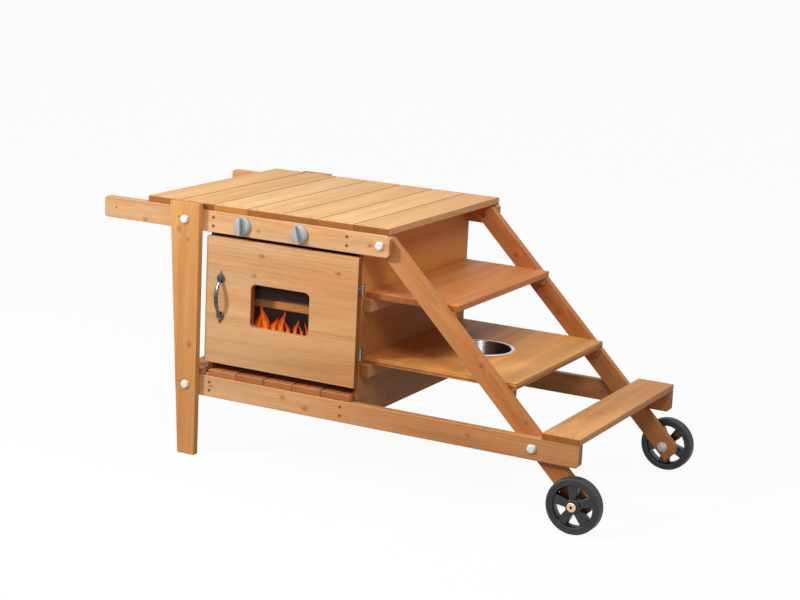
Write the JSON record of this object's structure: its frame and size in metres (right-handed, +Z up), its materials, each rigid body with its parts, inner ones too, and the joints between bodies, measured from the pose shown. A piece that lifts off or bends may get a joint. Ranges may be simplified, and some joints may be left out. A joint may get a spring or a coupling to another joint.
{
  "type": "outdoor toy kitchen",
  "caption": "Wooden outdoor play kitchen: slatted worktop over an oven with a windowed hinged door and knobs, a stair of shelves with a hanging bowl, and wheels under one end.",
  "frame": {"origin": "on the floor, under the middle of the overall box", "axes": "+X from the grips to the wheels, +Y from the oven door's side to the back, +Z up"},
  "size_m": [1.302, 0.617, 0.6],
  "materials": {
    "worktop_wood": "oiled larch slats",
    "frame_wood": "oiled larch",
    "door_wood": "oiled laminated larch",
    "plywood": "stained plywood",
    "stair_wood": "oiled larch",
    "shelf_wood": "oiled larch",
    "floor_wood": "oiled larch, end grain darker",
    "inner_wood": "planed larch",
    "dowel_wood": "beech dowel",
    "zinc_steel": "zinc plated",
    "hinge_zinc": "zinc plated, dull",
    "copper_plated_steel": "warm plated, satin",
    "white_plastic": "smooth",
    "brown_plastic": "moulded",
    "grey_plastic": "satin",
    "clear_acrylic": "clear sheet",
    "pewter": "dark antique cast zinc",
    "black_plastic": "moulded",
    "black_rubber": "grooved",
    "stainless_steel": "satin spun"
  },
  "bodies": {
    "frame": {"axle_bolts": "copper_plated_steel", "axle_nuts": "zinc_steel", "axle_washers": "zinc_steel", "back_bottom_rail": "frame_wood", "back_leg": "frame_wood", "back_stringer": "stair_wood", "back_top_rail": "frame_wood", "bolt_caps": "white_plastic", "bottom_bearers": "inner_wood", "frame_bolts": "zinc_steel", "frame_nuts": "zinc_steel", "frame_screws": "zinc_steel", "front_bottom_rail": "frame_wood", "front_leg": "frame_wood", "front_stringer": "stair_wood", "front_top_rail": "frame_wood", "hinge_frame_leaves": "hinge_zinc", "hinge_pins": "zinc_steel", "knob_spindles": "dowel_wood", "ledge_slat": "floor_wood", "lower_shelf": "shelf_wood", "lower_shelf_batten": "stair_wood", "lower_shelf_cleats": "stair_wood", "magnet_catch": "brown_plastic", "oven_back_panel": "plywood", "oven_floor_slat_1": "floor_wood", "oven_floor_slat_2": "floor_wood", "oven_floor_slat_3": "floor_wood", "oven_floor_slat_4": "floor_wood", "oven_floor_slat_5": "floor_wood", "oven_left_panel": "plywood", "oven_right_panel": "plywood", "oven_shelf": "inner_wood", "oven_shelf_battens": "inner_wood", "step_plank": "shelf_wood", "top_bearers": "inner_wood", "upper_shelf": "shelf_wood", "upper_shelf_batten": "stair_wood", "upper_shelf_cleats": "stair_wood", "worktop_screws": "zinc_steel", "worktop_slat_1": "worktop_wood", "worktop_slat_2": "worktop_wood", "worktop_slat_3": "worktop_wood", "worktop_slat_4": "worktop_wood", "worktop_slat_5": "worktop_wood", "worktop_slat_6": "worktop_wood", "worktop_slat_7": "worktop_wood"},
    "oven_door": {"oven_door": "door_wood", "window_pane": "clear_acrylic", "door_handle": "pewter", "door_screws": "zinc_steel", "hinge_door_leaves": "hinge_zinc", "catch_plate": "zinc_steel"},
    "left_knob": {"knob_left": "grey_plastic"},
    "right_knob": {"knob_right": "grey_plastic"},
    "front_wheel": {"front_wheel": "black_plastic", "front_tyre": "black_rubber"},
    "back_wheel": {"back_wheel": "black_plastic", "back_tyre": "black_rubber"},
    "bowl": {"sink_bowl": "stainless_steel"}
  },
  "joints": [
    {"name": "door_hinge", "type": "hinge", "parent": "frame", "child": "oven_door", "pos_m": [0.0435, -0.2663, 0.377], "axis": [0, 0, 1], "range_deg": [0, 110]},
    {"name": "left_knob_turn", "type": "hinge", "parent": "frame", "child": "left_knob", "pos_m": [-0.264, -0.285, 0.56], "axis": [0, -1, 0], "continuous": true},
    {"name": "right_knob_turn", "type": "hinge", "parent": "frame", "child": "right_knob", "pos_m": [-0.113, -0.285, 0.56], "axis": [0, -1, 0], "continuous": true},
    {"name": "front_wheel_spin", "type": "hinge", "parent": "frame", "child": "front_wheel", "pos_m": [0.5885, -0.283, 0.0625], "axis": [0, 1, 0], "continuous": true},
    {"name": "back_wheel_spin", "type": "hinge", "parent": "frame", "child": "back_wheel", "pos_m": [0.5885, 0.283, 0.0625], "axis": [0, 1, 0], "continuous": true},
    {"name": "bowl_lift", "type": "slide", "parent": "frame", "child": "bowl", "axis": [0, 0, 1], "range_m": [0, 0.08]}
  ]
}
